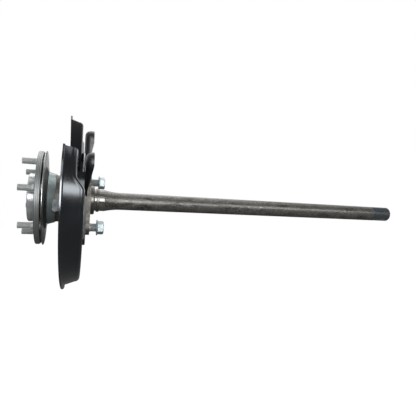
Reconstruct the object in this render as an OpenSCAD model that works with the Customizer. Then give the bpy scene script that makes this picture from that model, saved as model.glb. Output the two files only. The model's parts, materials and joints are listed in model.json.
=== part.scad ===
// Rear axle shaft with its wheel flange, bearing case, brake dust shield and caliper bracket.
// The X axis is the axle's own axis, from the wheel towards the splined end, and +Z is up.
// The origin is the centre of the flange face that the wheel seats on.

/* [Axle shaft] */
// Distance from the wheel face to the splined end
shaft_l = 848; // [600:1:1100]
// Radius of the forged bar
shaft_r = 17.4; // [15:0.1:20]
// Radius of the ground seat for the bearing and its rings
seat_r = 21.3; // [20.6:0.1:22.5]
// Where the ground seat ends and the forged neck starts
seat_end_x = 122.7; // [118:0.5:135]
// Length of the forged neck that tapers down to the bar
neck_l = 31; // [15:1:60]
// Length of the splined end
spline_l = 52; // [30:1:80]
// Number of spline teeth
spline_teeth = 30; // [20:1:40]
// Depth of a spline tooth
spline_depth = 1.4; // [0.8:0.1:2]
// Chamfer at the splined end
shaft_chamfer = 2.2; // [1:0.1:3.5]

/* [Wheel flange] */
// Radius of the wheel flange
flange_r = 89; // [86:0.5:96]
// Thickness of the flange at its rim
flange_t = 9.5; // [9:0.1:11]
// Thickness of the flange where the studs go through
flange_web_t = 8; // [7:0.1:8.6]
// Width of the thick rim
flange_rim_w = 8; // [4:0.5:9]
// Depth of the step turned into the back edge of the rim
rim_step = 1.2; // [0.5:0.1:2]
// Length of that step along the axle
rim_step_l = 2.8; // [1:0.1:4]
// Radius of the pilot that centres the wheel
pilot_r = 46; // [42:0.5:50]
// Length of the pilot
pilot_l = 15.6; // [12:0.2:24]
// Width of the groove round the pilot
pilot_groove_w = 1.4; // [0.8:0.1:2.4]
// Depth of the groove round the pilot
pilot_groove_d = 1; // [0.5:0.1:2]
// Depth of the forged recess in the pilot
pilot_recess_l = 13; // [6:0.5:20]
// Wall of the pilot round its recess
pilot_wall = 11; // [7:0.5:16]

/* [Wheel studs] */
// Number of wheel studs
stud_n = 6; // [6:1:6]
// Radius of the stud circle
stud_circle_r = 69.85; // [68:0.05:71]
// Radius of a stud
stud_r = 6; // [5:0.1:6.5]
// How much the knurled shank in the flange stands above the thread of a stud
stud_press = 0.6; // [0.2:0.1:1.2]
// Length of a stud in front of the wheel face
stud_l = 28; // [22:0.2:40]
// Radius of a stud's head
stud_head_r = 8.6; // [7.8:0.1:9.4]
// Thickness of a stud's head
stud_head_t = 3.9; // [2.5:0.1:4]
// Angle of the first stud from the top, towards the near side
stud_angle = 16.9; // [0:0.1:59]

/* [Deflector] */
// Radius of the deflector disc
deflector_r = 90.4; // [86:0.2:94]
// Sheet thickness of the deflector
deflector_t = 1.5; // [1:0.1:1.8]
// Length of the collar that holds the deflector on its hub
deflector_lip = 3; // [2:0.1:3]
// Distance from the flange web to the deflector sheet
deflector_gap = 4.4; // [4.3:0.1:5]
// Depth of the pressed step in the deflector
deflector_step = 3.8; // [2:0.1:4]
// Outer radius of the pressed step
step_outer_r = 61; // [58:0.5:66]
// Inner radius of the pressed step
step_inner_r = 55; // [52:0.5:57]
// Radius of the hub that the deflector is pressed on
hub_r = 40; // [38.5:0.1:41]

/* [Bearing] */
// Distance from the wheel face to the outboard side of the bearing
bearing_x = 57; // [55:0.5:57]
// Width of the bearing
bearing_w = 22; // [20:0.5:22]
// Outer radius of the bearing
bearing_r = 40; // [39:0.1:41]
// Thickness of the inner ring
inner_ring_t = 6.2; // [5:0.1:6.6]
// Thickness of the outer ring
outer_ring_t = 6.5; // [5:0.1:7]
// Radius of a ball
ball_r = 5.5; // [5:0.1:5.8]
// Number of balls
ball_n = 10; // [7:1:11]
// Width of the cage
cage_w = 13; // [12:0.5:15]
// Thickness of a bearing shield
bearing_shield_t = 0.6; // [0.4:0.1:1]
// Thickness of the snap ring
snap_t = 1.8; // [1:0.1:2]
// Height of the snap ring's section
snap_h = 4.6; // [3.6:0.1:5]
// How far the snap ring reaches into its groove
snap_grip = 1.6; // [1:0.1:2]
// Radius of the retainer ring that holds the bearing on the seat
retainer_r = 28.8; // [27:0.1:30]
// Distance from the wheel face to the inboard side of the retainer ring
retainer_end_x = 103.5; // [100:0.5:105]
// Chamfer of the retainer ring
retainer_chamfer = 2.4; // [1:0.1:4]
// Distance from the wheel face to the lock ring
lock_ring_x = 107.2; // [106:0.2:110]
// Width of the lock ring
lock_ring_w = 5.4; // [3:0.1:7]
// Radius of the lock ring
lock_ring_r = 23.3; // [23:0.1:26]

/* [Bearing case] */
// Radius of the round body of the bearing case
case_r = 45; // [44:0.1:46]
// Distance from the wheel face to the outboard end of the case
case_x = 29; // [28:0.5:31]
// Distance from the wheel face to the mounting face of the case
case_face_x = 94.5; // [93:0.5:97]
// Thickness of the case flange
case_flange_t = 7; // [5:0.5:8]
// Half the distance between the bolt columns
bolt_half_y = 50; // [49:0.5:56]
// Half the distance between the bolt rows
bolt_half_z = 44.5; // [43:0.5:50]
// How far the middle of the bolt pattern lies below the axis
bolt_drop = 7.5; // [0:0.5:10]
// Radius of the corners round the bolts
case_corner_r = 14; // [12.5:0.5:18]
// Radius of the bore for the outer seal
seal_bore_r = 38; // [36:0.2:38.5]
// Radius of the hole in the shoulder beside the bearing
shoulder_r = 34.5; // [33:0.2:36]

/* [Front cover] */
// Distance from the wheel face to the outboard end of the cover
cover_x = 18.4; // [18.1:0.1:20]
// Outer radius of the cover at its outboard end
cover_r = 50.5; // [48.5:0.1:52]
// Outer radius of the cover where it grips the case
cover_small_r = 46.7; // [46.5:0.1:47.5]
// Length of the cover
cover_l = 14.3; // [13:0.1:15]
// Sheet thickness of the cover
cover_t = 1.4; // [1:0.1:1.6]

/* [Tone ring and seals] */
// Number of teeth of the tone ring
tone_teeth = 48; // [30:1:60]
// Tip radius of the tone ring
tone_r = 42.6; // [41.5:0.1:43.6]
// Width of the tone ring
tone_w = 8; // [5:0.5:9]
// Depth of a tooth of the tone ring
tone_depth = 2.4; // [1:0.1:3]
// Radius of the seat of the tone ring on the hub
tone_seat_r = 36; // [35:0.1:37]
// Radius of the journal that the outer seal runs on
seal_seat_r = 31; // [29:0.1:32]
// Width of the outer seal
seal_w = 10; // [7:0.5:11]
// Width of the inner seal
inner_seal_w = 7; // [5:0.5:8]
// Wall of a seal
seal_wall = 1.6; // [1:0.1:2]

/* [Sensor mount] */
// Length of the sensor mount along the axle
sensor_l = 12; // [9:0.5:15]
// Height of the sensor mount
sensor_h = 22; // [15:0.5:26]
// How far the sensor mount stands out from the case body
sensor_out = 9; // [6:0.5:12]
// Width of the slot in the sensor mount
sensor_slot_w = 4; // [2:0.1:5]
// Depth of the slot in the sensor mount
sensor_slot_d = 5; // [2:0.1:5.5]
// Distance from the wheel face to the sensor mount
sensor_x = 28.4; // [27:0.2:30]
// How far the top of the sensor mount lies below the axis
sensor_drop = 2; // [0:0.5:6]
// How far the middle of the slot lies below the top of the mount
sensor_slot_drop = 14; // [5:0.2:17]

/* [Dust shield] */
// Sheet thickness of the dust shield
shield_t = 1.5; // [1:0.1:2]
// Radius where the wall meets the rounded corner of the lower web
shield_r = 160; // [155:0.5:168]
// Depth from the middle of the rim to the back of the lower web
shield_depth = 29.5; // [26:0.5:40]
// Radius of the rounded corner
shield_corner_r = 8; // [5:0.5:12]
// Flare of the wall: growth of its radius for each unit of its depth
shield_flare = 0.33; // [0:0.01:0.45]
// Width of the lip round the rim
shield_lip_w = 6.5; // [3:0.5:12]
// Angle by which the rim leans out on the near side
shield_lean = 2.9; // [0:0.1:4]
// Middle of the caliper opening, from the top towards the near side
opening_angle = 24.5; // [0:0.5:60]
// Width of the caliper opening
opening_width = 70; // [50:1:100]
// Length of the shallow arm at each side of the opening
arm_angle = 22; // [12:1:40]
// How much shallower the near arm is than the rest of the shield
near_arm_rise = 13; // [3:0.5:15]
// How much shallower the far arm is than the rest of the shield
far_arm_rise = 4.5; // [3:0.5:15]
// Radius of the web that is left round the case in the opening
hub_web_r = 97; // [92:1:115]

/* [Caliper bracket] */
// Plate thickness of the caliper bracket
bracket_t = 6; // [4:0.5:7]
// How far the bracket reaches below the axis
bracket_low = 85; // [80:1:100]
// Half the width of the bracket's body
bracket_half_w = 65; // [64:0.5:72]
// Half the distance between the caliper holes
ear_half = 72; // [66:0.5:80]
// Height of the caliper holes above the axis
ear_rise = 103; // [96:1:115]
// Radius of an ear round its hole
ear_r = 18; // [15:0.5:22]
// Radius of a caliper hole
ear_hole_r = 6.5; // [5:0.1:8]
// Plate thickness of the folded edge
fold_t = 4.5; // [3:0.5:6]
// Height of the folded edge of the near ear
near_fold_h = 8; // [6:0.5:16]
// Height of the folded edge of the far ear
far_fold_h = 11.4; // [6:0.2:16]
// Distance from an ear's tip at which its folded edge starts to run out
fold_full_l = 18; // [10:1:40]
// Length over which the folded edge runs out
fold_run_l = 55; // [30:1:70]

/* [Case bolts and nuts] */
// Radius of a case bolt
bolt_r = 8; // [7:0.1:8.5]
// How far a case bolt stands out of the mounting face
bolt_out = 25; // [20:0.5:40]
// Distance across the flats of a nut
nut_flats = 22; // [20:0.5:24]
// Radius of a nut's flange
nut_flange_r = 14.8; // [13:0.1:17]
// Thickness of a nut's flange
nut_flange_t = 2.7; // [2:0.1:4]
// Height of a nut
nut_h = 12.8; // [10:0.1:16]
// Gap left behind the near nut for the axle housing's flange
near_gap = 12.9; // [9:0.1:14]
// Gap left behind the far nut for the axle housing's flange
far_gap = 18.6; // [14:0.1:20]
// Thickness of a bolt's head
bolt_head_t = 8; // [5:0.5:9]
// Radius of a bolt's round head
bolt_head_r = 12; // [10:0.5:13]

/* [Hidden] */
$fn = 96;
// Overrun of every cut, and the clearance of a seated or running fit
cut = 1;
fit = 0.05;
// Gap between faces that only stand beside each other
gap = 0.3;
// Small edge break of turned parts
edge = 0.8;

// The stack on the case flange, from the mounting face towards the wheel
flange_back_x = case_face_x - case_flange_t;
bracket_x = flange_back_x - bracket_t;
shield_x = bracket_x - shield_t;
bolts = [[-bolt_half_y, -bolt_half_z - bolt_drop, near_gap],
    [bolt_half_y, bolt_half_z - bolt_drop, far_gap]];
holes = [for (y = [-bolt_half_y, bolt_half_y], z = [-bolt_half_z, bolt_half_z]) [y, z - bolt_drop]];

// Radius of the knurled shank of a stud
stud_shank_r = stud_r + stud_press;

// Stations along the hub behind the flange
deflector_x = flange_web_t + deflector_gap;
hub_end_x = deflector_x + deflector_step + deflector_t + gap;
tone_x = cover_x + cover_t + edge;
tone_end_x = tone_x + tone_w;
seal_x = tone_end_x + 2 * edge + seal_wall;
spline_x = shaft_l - spline_l;
shoulder_x = seal_x + seal_w;

// Bearing radii
inner_out_r = seat_r + fit + inner_ring_t;
outer_in_r = bearing_r - fit - outer_ring_t;
ball_circle_r = (inner_out_r + outer_in_r) / 2;
ball_x = bearing_x + bearing_w / 2;
groove_r = ball_r + fit;
cage_share = 0.3;
cage_t = (outer_in_r - inner_out_r) * cage_share;
snap_r = bearing_r + snap_grip;
snap_in_r = snap_r - snap_h;
inner_seal_x = bearing_x + bearing_w + snap_t + 3 * edge;

// Dust shield: the station of its rim, and the angles of the two tips beside the opening. Each
// arm is cut from the middle of the opening, so that no cut ends where the opening's cut does
rim_x = bracket_x - shield_depth;
near_tip = opening_angle + opening_width / 2;
far_tip = opening_angle - opening_width / 2;
arms = [[opening_angle, near_tip + arm_angle, bracket_x - near_arm_rise],
    [far_tip - arm_angle, opening_angle, bracket_x - far_arm_rise]];
reach = 2 * shield_r;
wall_start_x = rim_x - (shield_r + shield_depth) * tan(shield_lean) - cut;

// Radius of the shield's outer wall at a station
function shield_wall_r(x) = shield_r + shield_flare * (bracket_x - shield_corner_r - x);

// Points of an arc, as radius and station, round a centre
function arc(r0, x0, r, from, to, steps = 8) =
    [for (i = [0:steps]) let (a = from + (to - from) * i / steps) [r0 + r * cos(a), x0 + r * sin(a)]];

// A solid of revolution about the axle, from points of radius and station
module turned(points) {
    rotate([0, 90, 0]) rotate_extrude() polygon(points);
}

// A part of a turn, from one angle to another, measured from the top towards the near side
module turned_sector(points, from, to) {
    rotate([0, 90, 0]) rotate([0, 0, 180 + from]) rotate_extrude(angle = to - from) polygon(points);
}

// A ring of rectangular section
module ring(r_in, r_out, x0, x1) {
    turned([[r_in, x0], [r_out, x0], [r_out, x1], [r_in, x1]]);
}

// A rod along the axle through a point of the cross-section
module rod(y, z, r, x0, x1) {
    translate([x0, y, z]) rotate([0, 90, 0]) cylinder(r = r, h = x1 - x0);
}

// A plate across the axle: its children are drawn in Y and Z
module plate(x0, thickness) {
    translate([x0, 0, 0]) rotate([90, 0, 90]) linear_extrude(thickness) children();
}

// A flat bar with round ends between two points
module bar2d(a, b, r) {
    d = b - a;
    n = [-d[1], d[0]] * r / norm(d);
    translate(a) circle(r);
    translate(b) circle(r);
    polygon([a + n, b + n, b - n, a - n]);
}

// A rectangle with round corners, given by its two corners
module round_rect2d(a, b, r) {
    translate([a[0] + r, a[1]]) square([b[0] - a[0] - 2 * r, b[1] - a[1]]);
    translate([a[0], a[1] + r]) square([b[0] - a[0], b[1] - a[1] - 2 * r]);
    for (y = [a[0] + r, b[0] - r], z = [a[1] + r, b[1] - r]) translate([y, z]) circle(r);
}

// The place of one wheel stud in the cross-section
function stud_place(i) = let (a = stud_angle + i * 360 / stud_n)
    [-stud_circle_r * sin(a), stud_circle_r * cos(a)];

// Outline of an involute-like toothed disc
module toothed2d(tip_r, root_r, teeth) {
    root_share = 0.3;
    tip_share = 0.17;
    step = 360 / teeth;
    polygon([for (i = [0:teeth - 1], k = [[-root_share, root_r], [-tip_share, tip_r],
        [tip_share, tip_r], [root_share, root_r]])
        k[1] * [cos((i + k[0]) * step), sin((i + k[0]) * step)]]);
}

module flange_profile() {
    rim_in_r = flange_r - flange_rim_w;
    step_r = flange_r - rim_step;
    step_x = flange_t - rim_step_l;
    groove_x = -pilot_l / 2;
    groove_in_r = pilot_r - pilot_groove_d;
    recess_r = pilot_r - pilot_wall;
    turned([
        [0, pilot_recess_l - pilot_l], [recess_r - pilot_recess_l / 3, pilot_recess_l - pilot_l],
        [recess_r, -pilot_l], [pilot_r - 2 * edge, -pilot_l], [pilot_r, -pilot_l + 2 * edge],
        [pilot_r, groove_x - pilot_groove_w / 2], [groove_in_r, groove_x - pilot_groove_w / 2],
        [groove_in_r, groove_x + pilot_groove_w / 2], [pilot_r, groove_x + pilot_groove_w / 2],
        [pilot_r, 0], [flange_r - edge, 0], [flange_r, edge], [flange_r, step_x],
        [step_r, step_x], [step_r, flange_t - edge], [step_r - edge, flange_t],
        [rim_in_r, flange_t], [rim_in_r - edge, flange_web_t],
        [hub_r, flange_web_t], [hub_r, hub_end_x], [tone_seat_r, hub_end_x],
        [tone_seat_r, tone_end_x], [seal_seat_r + edge, tone_end_x + edge],
        [seal_seat_r, tone_end_x + 2 * edge], [seal_seat_r, bearing_x - 2 * edge],
        [seal_seat_r - 2 * edge, bearing_x], [0, bearing_x]
    ]);
}

module bar_profile() {
    turned([
        [0, bearing_x - edge], [seat_r, bearing_x - edge], [seat_r, seat_end_x],
        each [for (s = [0.25:0.25:1]) [seat_r - (seat_r - shaft_r) * sin(90 * s), seat_end_x + neck_l * s]],
        [shaft_r, spline_x - edge], [shaft_r - spline_depth, spline_x + edge], [0, spline_x + edge]
    ]);
}

module spline_end() {
    tip_r = shaft_r - fit;
    intersection() {
        plate(spline_x, spline_l) toothed2d(tip_r, tip_r - spline_depth, spline_teeth);
        turned([[0, spline_x - cut], [tip_r + cut, spline_x - cut],
            [tip_r + cut, shaft_l - shaft_chamfer - cut], [tip_r - shaft_chamfer, shaft_l], [0, shaft_l]]);
    }
}

module axle_shaft() {
    color("#6f6a62") {
        difference() {
            flange_profile();
            for (i = [0:stud_n - 1])
                rod(stud_place(i)[0], stud_place(i)[1], stud_shank_r + fit, -cut, flange_t + cut);
        }
        bar_profile();
        spline_end();
    }
}

module wheel_studs() {
    color("#9ba09c") for (i = [0:stud_n - 1]) {
        place = stud_place(i);
        translate([0, place[0], place[1]]) turned([
            [0, -stud_l], [stud_r - edge, -stud_l], [stud_r, -stud_l + edge],
            [stud_r, 0], [stud_shank_r, edge], [stud_shank_r, flange_web_t], [stud_head_r, flange_web_t],
            [stud_head_r, flange_web_t + stud_head_t - edge],
            [stud_head_r - edge, flange_web_t + stud_head_t], [0, flange_web_t + stud_head_t]
        ]);
    }
}

module deflector() {
    back_x = deflector_x + deflector_t;
    color("#a9adab") turned([
        [hub_r + fit, deflector_x - deflector_lip + deflector_t],
        [hub_r + deflector_t, deflector_x - deflector_lip + deflector_t],
        [hub_r + deflector_t, deflector_x + deflector_step],
        [step_inner_r - deflector_t / 2, deflector_x + deflector_step],
        [step_outer_r - deflector_t / 2, deflector_x],
        [deflector_r, deflector_x], [deflector_r, back_x - edge], [deflector_r - edge, back_x],
        [step_outer_r, back_x], [step_inner_r, back_x + deflector_step],
        [hub_r + fit, back_x + deflector_step]
    ]);
}

module tone_ring() {
    color("#6d7276") difference() {
        plate(tone_x, tone_w) toothed2d(tone_r, tone_r - tone_depth, tone_teeth);
        rod(0, 0, tone_seat_r + fit, tone_x - cut, tone_end_x + cut);
    }
}

module ball_groove() {
    rotate([0, 90, 0]) rotate_extrude() translate([ball_circle_r, ball_x]) circle(groove_r);
}

module bearing_inner_ring() {
    color("#8f9498") difference() {
        turned([
            [seat_r + fit, bearing_x + fit], [inner_out_r - edge, bearing_x + fit],
            [inner_out_r, bearing_x + edge], [inner_out_r, bearing_x + bearing_w - edge],
            [inner_out_r - edge, bearing_x + bearing_w], [seat_r + fit, bearing_x + bearing_w]
        ]);
        ball_groove();
    }
}

module bearing_outer_ring() {
    color("#8f9498") difference() {
        turned([
            [outer_in_r, bearing_x + fit], [bearing_r - edge, bearing_x + fit],
            [bearing_r - fit, bearing_x + edge], [bearing_r - fit, bearing_x + bearing_w - edge],
            [bearing_r - edge, bearing_x + bearing_w], [outer_in_r, bearing_x + bearing_w]
        ]);
        ball_groove();
    }
}

module bearing_balls() {
    color("#b9bec2") for (i = [0:ball_n - 1])
        rotate([i * 360 / ball_n, 0, 0]) translate([ball_x, 0, ball_circle_r]) sphere(ball_r);
}

module bearing_cage() {
    color("#a98f5a") difference() {
        ring(ball_circle_r - cage_t / 2, ball_circle_r + cage_t / 2,
            ball_x - cage_w / 2, ball_x + cage_w / 2);
        for (i = [0:ball_n - 1]) rotate([i * 360 / ball_n, 0, 0])
            translate([ball_x, 0, ball_circle_r / 2]) cylinder(r = ball_r + 2 * fit, h = ball_circle_r);
    }
}

module bearing_shields() {
    color("#55595c") for (x = [bearing_x + edge, bearing_x + bearing_w - edge - bearing_shield_t])
        ring(inner_out_r + fit, outer_in_r - fit / 2, x, x + bearing_shield_t);
}

module bearing_retainer() {
    x0 = bearing_x + bearing_w + fit;
    color("#8d8a84") turned([
        [seat_r + fit, x0], [retainer_r - edge, x0], [retainer_r, x0 + edge],
        [retainer_r, retainer_end_x - retainer_chamfer],
        [retainer_r - retainer_chamfer / 2, retainer_end_x], [seat_r + fit, retainer_end_x]
    ]);
}

module lock_ring() {
    color("#a5a29e") turned([
        [seat_r + fit, lock_ring_x], [lock_ring_r - edge / 2, lock_ring_x],
        [lock_ring_r, lock_ring_x + edge / 2], [lock_ring_r, lock_ring_x + lock_ring_w - edge / 2],
        [lock_ring_r - edge / 2, lock_ring_x + lock_ring_w], [seat_r + fit, lock_ring_x + lock_ring_w]
    ]);
}

module case_snap_ring() {
    x0 = bearing_x + bearing_w + fit;
    opening_share = 5;
    opening = snap_t * opening_share;
    color("#6a6d70") difference() {
        ring(snap_in_r, snap_r, x0, x0 + snap_t);
        translate([x0 - cut, -opening / 2, 0]) cube([snap_t + 2 * cut, opening, 2 * snap_r]);
    }
}

// A radial shaft seal: a cased rubber ring with a lip that runs on a journal
module shaft_seal(in_r, out_r, x0, w) {
    lip_share = 0.3;
    lip_w = w * lip_share;
    turned([
        [out_r - fit, x0], [out_r - fit, x0 + w], [out_r - 2 * seal_wall, x0 + w],
        [out_r - 2 * seal_wall, x0 + seal_wall + lip_w / 2], [in_r + seal_wall, x0 + seal_wall + lip_w],
        [in_r + seal_wall, x0 + seal_wall + 2 * lip_w], [in_r + fit, x0 + seal_wall + lip_w],
        [in_r + 2 * fit, x0]
    ]);
}

module outer_seal() {
    color("#1d1e20") shaft_seal(seal_seat_r, seal_bore_r, seal_x, seal_w);
}

module inner_seal() {
    color("#1d1e20") shaft_seal(retainer_r, bearing_r, inner_seal_x, inner_seal_w);
}

module case_plate2d() {
    round_rect2d([-bolt_half_y - case_corner_r, -bolt_half_z - bolt_drop - case_corner_r],
        [bolt_half_y + case_corner_r, bolt_half_z - bolt_drop + case_corner_r], case_corner_r);
}

module bearing_case() {
    snap_x = bearing_x + bearing_w;
    color("#6b5f4f") difference() {
        union() {
            turned([[0, case_x], [case_r - edge, case_x], [case_r, case_x + edge],
                [case_r, flange_back_x + cut], [0, flange_back_x + cut]]);
            plate(flange_back_x, case_flange_t) case_plate2d();
        }
        turned([
            [0, case_x - cut], [seal_bore_r, case_x - cut], [seal_bore_r, shoulder_x],
            [shoulder_r, shoulder_x], [shoulder_r, bearing_x], [bearing_r, bearing_x],
            [bearing_r, snap_x], [snap_r + fit, snap_x], [snap_r + fit, snap_x + snap_t + 2 * fit],
            [bearing_r, snap_x + snap_t + 2 * fit], [bearing_r, case_face_x + cut],
            [0, case_face_x + cut]
        ]);
        for (p = holes) rod(p[0], p[1], bolt_r + fit, flange_back_x - cut, case_face_x + cut);
    }
}

module front_cover() {
    end_x = cover_x + cover_l;
    mouth_share = 1.6;
    color("#8e9b98") turned([
        [case_r + fit, end_x], [case_r + fit, case_x + edge], [case_r + fit, case_x - gap],
        [cover_r - cover_t * mouth_share, cover_x + cover_t], [tone_r + gap, cover_x + cover_t],
        [tone_r + gap, cover_x], [cover_r - edge, cover_x], [cover_r, cover_x + edge],
        [cover_small_r, end_x - edge], [cover_small_r - edge / 2, end_x]
    ]);
}

module sensor_mount() {
    end_x = sensor_x + sensor_l;
    cover_end_x = cover_x + cover_l;
    color("#8c9092") difference() {
        translate([sensor_x, -case_r - sensor_out, -sensor_drop - sensor_h])
            cube([sensor_l, sensor_out + case_r - bearing_r, sensor_h]);
        rod(0, 0, case_r + fit, sensor_x - cut, end_x + cut);
        rod(0, 0, cover_r, sensor_x - cut, cover_end_x + gap);
        translate([sensor_x - cut, -case_r - sensor_out - cut,
            -sensor_drop - sensor_slot_drop - sensor_slot_w / 2])
            cube([sensor_l + 2 * cut, sensor_slot_d + cut, sensor_slot_w]);
    }
}

// The round corner of the shield behind a station, or of its inner face
function shield_corner(back_x, inset) = let (corner_x = back_x - shield_corner_r)
    arc(shield_wall_r(corner_x) - shield_corner_r, corner_x, shield_corner_r - inset, 90, 0);

// One face of the pressed shield as a solid: a dish with a shallower arm at each side of the opening
module shield_dish(inset, start_x) {
    step_angle = inset / hub_web_r * 180 / PI;
    difference() {
        turned([[0, bracket_x - inset], each shield_corner(bracket_x, inset),
            [shield_wall_r(start_x) - inset, start_x], [0, start_x]]);
        for (arm = arms) turned_sector([
            [hub_web_r - inset, bracket_x + cut], [hub_web_r - inset, arm[2] - inset],
            each shield_corner(arm[2], inset), [reach, arm[2] - shield_corner_r],
            [reach, bracket_x + cut]], arm[0] - step_angle, arm[1] + step_angle);
    }
}

// The line of the rim, which leans out on the near side, as a band in X and Y
function rim_band(from, to) = let (fall = reach * tan(shield_lean))
    [[rim_x - fall + from, -reach], [rim_x + from, 0], [rim_x + from, reach],
    [rim_x + to, reach], [rim_x + to, 0], [rim_x - fall + to, -reach]];

module shield_lip() {
    front_x = wall_start_x;
    back_x = bracket_x - shield_corner_r;
    intersection() {
        turned([[shield_wall_r(front_x) - shield_t / 2, front_x],
            [shield_wall_r(front_x) + shield_lip_w, front_x], [shield_wall_r(back_x) + shield_lip_w, back_x],
            [shield_wall_r(back_x) - shield_t / 2, back_x]]);
        linear_extrude(2 * reach, center = true) polygon(rim_band(0, shield_t));
    }
}

module dust_shield() {
    in_r = hub_web_r - shield_t - gap;
    color("#2a2d31") difference() {
        union() {
            difference() {
                shield_dish(0, wall_start_x);
                shield_dish(shield_t, wall_start_x - cut);
            }
            shield_lip();
        }
        turned_sector([[in_r, 0], [reach, 0], [reach, bracket_x + cut], [in_r, bracket_x + cut]],
            far_tip, near_tip);
        linear_extrude(2 * reach, center = true) polygon(rim_band(-reach, 0));
        rod(0, 0, case_r + gap, 0, bracket_x + cut);
        for (p = holes) rod(p[0], p[1], bolt_r + gap, shield_x - cut, bracket_x + cut);
    }
}

// Outline of one ear, on the near side with -1 and on the far side with 1
module ear2d(side, r) {
    bar2d([side * ear_half / 2, ear_rise / 4], [side * ear_half, ear_rise], r);
}

// The folded edge of an ear: full at the tip, then running out towards the body
module ear_fold(side, h) {
    tip_rise = ear_rise + ear_r;
    end_x = flange_back_x + h;
    full_rise = tip_rise - fold_full_l;
    low_rise = full_rise - fold_run_l;
    rotate([opening_angle, 0, 0]) difference() {
        plate(bracket_x, bracket_t + h) difference() {
            ear2d(side, ear_r);
            ear2d(side, ear_r - fold_t);
        }
        rotate([90, 0, 0]) linear_extrude(2 * reach, center = true) polygon([
            [end_x + cut, full_rise], [end_x, full_rise], [flange_back_x, low_rise],
            [flange_back_x, -reach], [end_x + cut, -reach]]);
    }
}

module caliper_bracket() {
    body_top = bolt_half_z - bolt_drop + case_corner_r;
    color("#26282b") difference() {
        union() {
            plate(bracket_x, bracket_t) {
                round_rect2d([-bracket_half_w, -bracket_low], [bracket_half_w, body_top], case_corner_r);
                rotate(opening_angle) for (side = [-1, 1]) ear2d(side, ear_r);
            }
            ear_fold(-1, near_fold_h);
            ear_fold(1, far_fold_h);
        }
        plate(flange_back_x, reach) round_rect2d(
            [-bracket_half_w, -bracket_low], [bracket_half_w, body_top + cut], case_corner_r);
        rod(0, 0, case_r + gap, bracket_x - cut, flange_back_x + cut);
        for (p = holes) rod(p[0], p[1], bolt_r + gap, bracket_x - cut, flange_back_x + cut);
        rotate([opening_angle, 0, 0]) for (side = [-1, 1])
            rod(side * ear_half, ear_rise, ear_hole_r, bracket_x - cut, flange_back_x + cut);
    }
}

module case_bolts() {
    end_x = case_face_x + bolt_out;
    color("#8a8f90") for (p = bolts) translate([0, p[0], p[1]]) turned([
        [0, shield_x - bolt_head_t], [bolt_head_r - edge, shield_x - bolt_head_t],
        [bolt_head_r, shield_x - bolt_head_t + edge], [bolt_head_r, shield_x],
        [bolt_r, shield_x], [bolt_r, end_x - edge], [bolt_r - edge, end_x], [0, end_x]
    ]);
}

module case_nuts() {
    corner_r = nut_flats / 2 / cos(30);
    color("#c3cfd0") for (p = bolts) translate([case_face_x + p[2], p[0], p[1]]) difference() {
        union() {
            turned([[0, 0], [nut_flange_r, 0], [nut_flange_r, edge],
                [corner_r, nut_flange_t], [0, nut_flange_t]]);
            intersection() {
                rotate([0, 90, 0]) cylinder(r = corner_r, h = nut_h, $fn = 6);
                turned([[0, 0], [corner_r, 0], [corner_r, nut_h - edge],
                    [nut_flats / 2, nut_h], [0, nut_h]]);
            }
        }
        rod(0, 0, bolt_r + fit, -cut, nut_h + cut);
    }
}

axle_shaft();
wheel_studs();
deflector();
tone_ring();
bearing_inner_ring();
bearing_balls();
bearing_cage();
bearing_outer_ring();
bearing_shields();
bearing_retainer();
lock_ring();
case_snap_ring();
outer_seal();
inner_seal();
bearing_case();
front_cover();
sensor_mount();
dust_shield();
caliper_bracket();
case_bolts();
case_nuts();
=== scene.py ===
"""Looks of a rear axle shaft with its wheel flange, bearing case, dust shield and caliper bracket.

The CAD frame gives the shapes, and this script dresses them with procedural finishes. It makes
the studs, bolts and nuts again with threads and chamfers, and the dust shield and the caliper
bracket with their soft bends, in place of the plainer CAD nodes. The studio holds the camera,
the floor, the lamps and the world.
"""

import json
import logging
import math
from collections.abc import Callable, Sequence
from dataclasses import dataclass
from enum import Enum
from functools import partial
from typing import Any

import bmesh
import bpy
from mathutils import Matrix, Vector

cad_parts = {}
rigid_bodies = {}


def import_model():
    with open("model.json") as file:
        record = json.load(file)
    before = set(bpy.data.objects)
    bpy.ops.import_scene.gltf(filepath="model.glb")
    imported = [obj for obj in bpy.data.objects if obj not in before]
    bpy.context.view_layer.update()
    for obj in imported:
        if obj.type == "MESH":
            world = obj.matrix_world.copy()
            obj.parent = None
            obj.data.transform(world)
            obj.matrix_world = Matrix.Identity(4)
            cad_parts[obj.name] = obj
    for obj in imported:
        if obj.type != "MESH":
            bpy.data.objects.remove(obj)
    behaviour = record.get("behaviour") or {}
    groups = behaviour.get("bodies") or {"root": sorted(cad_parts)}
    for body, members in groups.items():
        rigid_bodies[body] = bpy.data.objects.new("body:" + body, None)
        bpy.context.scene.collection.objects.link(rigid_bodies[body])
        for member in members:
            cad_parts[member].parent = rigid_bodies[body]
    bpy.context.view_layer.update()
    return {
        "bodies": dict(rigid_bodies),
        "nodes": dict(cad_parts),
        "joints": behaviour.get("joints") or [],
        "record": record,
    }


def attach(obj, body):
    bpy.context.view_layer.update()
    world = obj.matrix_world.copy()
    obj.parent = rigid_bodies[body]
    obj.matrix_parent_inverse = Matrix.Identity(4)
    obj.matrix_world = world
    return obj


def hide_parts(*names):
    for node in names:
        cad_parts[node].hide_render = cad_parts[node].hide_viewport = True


LOG = logging.getLogger("axle_shaft_looks")
MM = 0.001
# The width of one band of the wave texture at a scale of 1
WAVE_BAND = math.pi / 10
# Points closer than this, in metres, are one point
WELD_M = 1e-6
# How far a tool that cuts a hole stands out of the sheet on both sides
CUT_REACH_MM = 4.0
# The angles above which an edge stays sharp, on threads, on nuts and on bent sheet
SHARP_THREAD_DEGREES = 50.0
SHARP_NUT_DEGREES = 24.0
SHARP_SHEET_DEGREES = 35.0
# The Y and Z of the four holes of the case's flange, which go through shield and bracket
CASE_HOLES = ((-50.0, -52.0), (50.0, -52.0), (-50.0, 37.0), (50.0, 37.0))

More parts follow.
